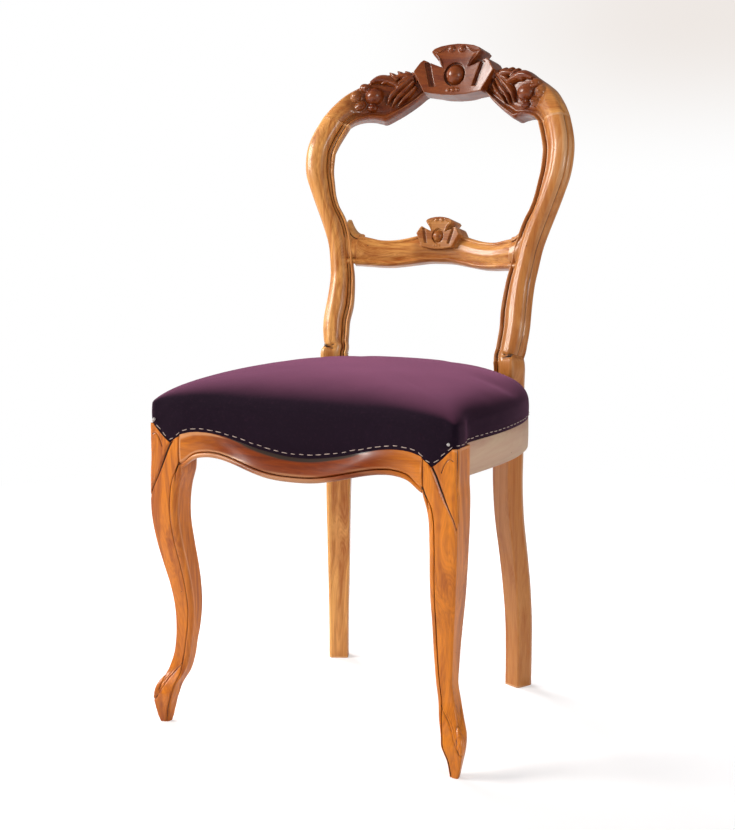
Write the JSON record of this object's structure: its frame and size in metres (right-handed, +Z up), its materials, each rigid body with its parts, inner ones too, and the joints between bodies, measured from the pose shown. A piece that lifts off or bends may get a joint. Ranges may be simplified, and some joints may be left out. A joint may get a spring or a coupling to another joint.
{
  "type": "balloon back chair",
  "caption": "Side chair with a carved open balloon back, cabriole front legs, splayed rear legs and a stuffed cloth seat, for one person to sit at a table.",
  "frame": {"origin": "on the floor, under the middle of the chair's overall box", "axes": "+X to the right of someone who looks at the front of the chair, +Y from the front to the back, +Z up"},
  "size_m": [0.456, 0.5284, 0.9281],
  "materials": {
    "carved_walnut": "glossy french polish, warm orange brown",
    "golden_walnut": "glossy french polish, golden brown",
    "crest_walnut": "glossy french polish, dark red brown",
    "pale_rail_wood": "matt, dry pinkish brown",
    "frame_beech": "bare sawn beech",
    "dowel_beech": "bare turned beech",
    "screw_steel": "plain steel",
    "jute_webbing": "woven jute",
    "tack_steel": "blued steel",
    "hessian": "open woven jute cloth",
    "pad_filling": "felted fibre",
    "plum_cloth": "matt plum wool cloth",
    "white_pin": "white lacquered pin head"
  },
  "bodies": {
    "root": {"front_leg_left": "carved_walnut", "front_leg_right": "carved_walnut", "front_seat_rail": "carved_walnut", "rear_post_left": "golden_walnut", "rear_post_right": "golden_walnut", "mid_rail": "golden_walnut", "crest_rail": "crest_walnut", "side_seat_rail_left": "pale_rail_wood", "side_seat_rail_right": "pale_rail_wood", "rear_seat_rail": "frame_beech", "crest_dowels": "dowel_beech", "mid_rail_dowels": "dowel_beech", "front_rail_dowels": "dowel_beech", "side_rail_dowels": "dowel_beech", "rear_rail_dowels": "dowel_beech", "corner_block_front_left": "frame_beech", "corner_block_front_right": "frame_beech", "corner_block_rear_left": "frame_beech", "corner_block_rear_right": "frame_beech", "corner_block_screws": "screw_steel", "webbing_lengthwise": "jute_webbing", "webbing_crosswise": "jute_webbing", "webbing_tacks": "tack_steel", "hessian_sheet": "hessian", "seat_stuffing": "pad_filling", "seat_cover": "plum_cloth", "corner_pins": "white_pin"}
  },
  "joints": []
}
